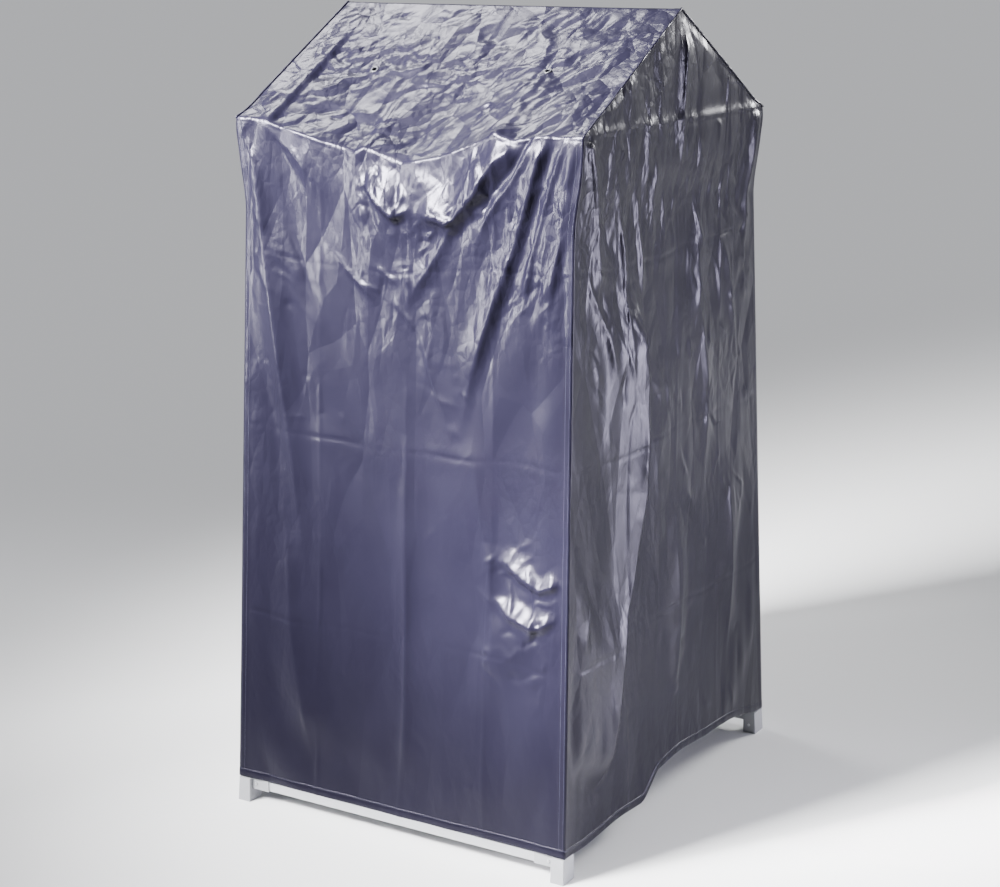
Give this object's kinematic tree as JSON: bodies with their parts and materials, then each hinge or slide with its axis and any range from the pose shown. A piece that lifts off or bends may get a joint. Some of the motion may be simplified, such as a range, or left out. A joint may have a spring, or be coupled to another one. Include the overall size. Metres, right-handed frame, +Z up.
{
  "type": "covered clothes-drying stand",
  "caption": "Free-standing clothes-drying frame with a gabled top, fold-up drying wings and a laced clothesline, under a fitted weather cover that lifts off.",
  "frame": {"origin": "on the ground, under the middle of the four feet", "axes": "+X along the ridge, +Y from the front to the rear, +Z up"},
  "size_m": [0.83, 0.955, 1.7044],
  "materials": {
    "anodised_tube": "satin anodised square tube",
    "coated_tube": "satin powder coat on round tube",
    "moulded_grey": "fine moulded texture",
    "bright_steel": "zinc plated",
    "coated_line": "smooth plastic-coated line",
    "coated_taffeta": "waterproof coated taffeta with a soft gloss",
    "dark_eyelet": "smooth"
  },
  "bodies": {
    "frame": {"foot_front_left": "moulded_grey", "leg_front_left": "anodised_tube", "eave_elbow_front_left": "moulded_grey", "rafter_front_left": "anodised_tube", "foot_front_right": "moulded_grey", "leg_front_right": "anodised_tube", "eave_elbow_front_right": "moulded_grey", "rafter_front_right": "anodised_tube", "foot_rear_left": "moulded_grey", "leg_rear_left": "anodised_tube", "eave_elbow_rear_left": "moulded_grey", "rafter_rear_left": "anodised_tube", "foot_rear_right": "moulded_grey", "leg_rear_right": "anodised_tube", "eave_elbow_rear_right": "moulded_grey", "rafter_rear_right": "anodised_tube", "bottom_rail_front": "anodised_tube", "bottom_rail_rear": "anodised_tube", "ridge_connector_left": "moulded_grey", "side_bar_lower_left": "anodised_tube", "side_bar_middle_left": "anodised_tube", "side_bar_top_left": "anodised_tube", "ridge_connector_right": "moulded_grey", "side_bar_lower_right": "anodised_tube", "side_bar_middle_right": "anodised_tube", "side_bar_top_right": "anodised_tube", "bar_collars_lower": "moulded_grey", "bar_collars_middle": "moulded_grey", "bar_collars_top": "moulded_grey", "hinge_brackets_lower": "moulded_grey", "hinge_brackets_middle": "moulded_grey", "hinge_pins": "bright_steel", "ridge_bar": "anodised_tube", "cross_rail": "anodised_tube", "cross_rail_collars": "moulded_grey", "top_clothesline": "coated_line", "foot_screws": "bright_steel", "roof_screws": "bright_steel", "collar_screws": "bright_steel"},
    "wing_lower_left": {"wing_arms_lower_left": "coated_tube", "wing_bar_lower_left": "coated_tube", "wing_wires_lower_left": "coated_line"},
    "wing_lower_right": {"wing_arms_lower_right": "coated_tube", "wing_bar_lower_right": "coated_tube", "wing_wires_lower_right": "coated_line"},
    "wing_middle_left": {"wing_arms_middle_left": "coated_tube", "wing_bar_middle_left": "coated_tube", "wing_wires_middle_left": "coated_line"},
    "wing_middle_right": {"wing_arms_middle_right": "coated_tube", "wing_bar_middle_right": "coated_tube", "wing_wires_middle_right": "coated_line"},
    "cover": {"cover_wall_front": "coated_taffeta", "cover_wall_rear": "coated_taffeta", "cover_roof_front": "coated_taffeta", "cover_roof_rear": "coated_taffeta", "cover_gable_left": "coated_taffeta", "cover_gable_right": "coated_taffeta", "cover_hem": "coated_taffeta", "cover_vent_eyelets": "dark_eyelet"}
  },
  "joints": [
    {"name": "wing_lower_left_fold", "type": "hinge", "parent": "frame", "child": "wing_lower_left", "pos_m": [-0.36203, 0, 0.56], "axis": [0, -1, 0], "range_deg": [0, 88]},
    {"name": "wing_lower_right_fold", "type": "hinge", "parent": "frame", "child": "wing_lower_right", "pos_m": [0.36203, 0, 0.56], "axis": [0, 1, 0], "range_deg": [0, 88]},
    {"name": "wing_middle_left_fold", "type": "hinge", "parent": "frame", "child": "wing_middle_left", "pos_m": [-0.35504, 0, 0.96], "axis": [0, -1, 0], "range_deg": [0, 88]},
    {"name": "wing_middle_right_fold", "type": "hinge", "parent": "frame", "child": "wing_middle_right", "pos_m": [0.35504, 0, 0.96], "axis": [0, 1, 0], "range_deg": [0, 88]},
    {"name": "cover_lift", "type": "slide", "parent": "frame", "child": "cover", "axis": [0, 0, 1], "range_m": [0, 1.75]}
  ]
}
